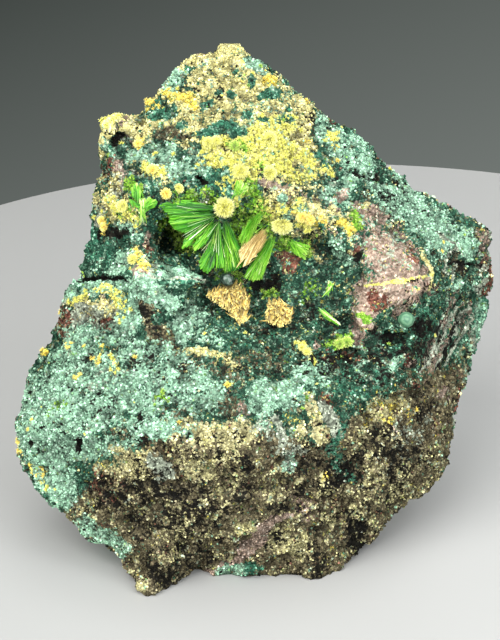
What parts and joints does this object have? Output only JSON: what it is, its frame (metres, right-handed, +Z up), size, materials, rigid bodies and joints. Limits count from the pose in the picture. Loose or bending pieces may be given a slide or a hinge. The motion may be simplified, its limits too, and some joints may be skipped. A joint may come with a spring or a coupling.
{
  "type": "uranium mineral specimen",
  "caption": "Rough hand specimen of green-crusted rock with a recess of green crystal fans and yellow needle tufts, resting on a flat broken base.",
  "frame": {"origin": "on the flat broken base, under the middle of the specimen's face", "axes": "+Z up from the base, -Y out of the face that carries the crystals, +X to the right of someone facing it"},
  "size_m": [0.0617, 0.0417, 0.0593],
  "materials": {
    "rock": "rough broken rock with a green crust",
    "leaf_green_crystal": "glassy green bladed crystals",
    "lime_crystal": "silky lime-green crystals",
    "lemon_needles": "silky lemon-yellow needles",
    "golden_needles": "silky golden needles",
    "tan_crystal": "silky tan needles",
    "dark_green_bead": "polished dark green bead",
    "pale_green_bead": "smooth pale green bead"
  },
  "bodies": {
    "root": {"rock_matrix": "rock", "green_fan_left": "leaf_green_crystal", "green_fan_right": "lime_crystal", "tan_fan": "tan_crystal", "green_sprig": "leaf_green_crystal", "lime_stem": "lime_crystal", "tan_brush_left": "tan_crystal", "tan_brush_right": "tan_crystal", "green_splinter": "lime_crystal", "green_leaf": "lime_crystal", "dark_ball": "dark_green_bead", "malachite_ball": "pale_green_bead", "yellow_ball": "lemon_needles", "yellow_tuft_right": "lemon_needles", "yellow_tuft_upper": "lemon_needles", "yellow_tuft_middle": "lemon_needles", "yellow_tuft_top_left": "lemon_needles", "lime_tuft_top": "lime_crystal", "yellow_tuft_top_right": "lemon_needles", "golden_tufts_right": "golden_needles", "golden_ball_left": "golden_needles", "cream_ball_left": "lemon_needles", "golden_drop_left": "golden_needles", "yellow_tuft_left": "lemon_needles", "golden_tuft_upper_left": "golden_needles", "golden_tuft_cheek": "golden_needles", "yellow_tuft_far_left": "lemon_needles", "lime_tufts_right": "lime_crystal", "yellow_spray_low": "lemon_needles"}
  },
  "joints": []
}
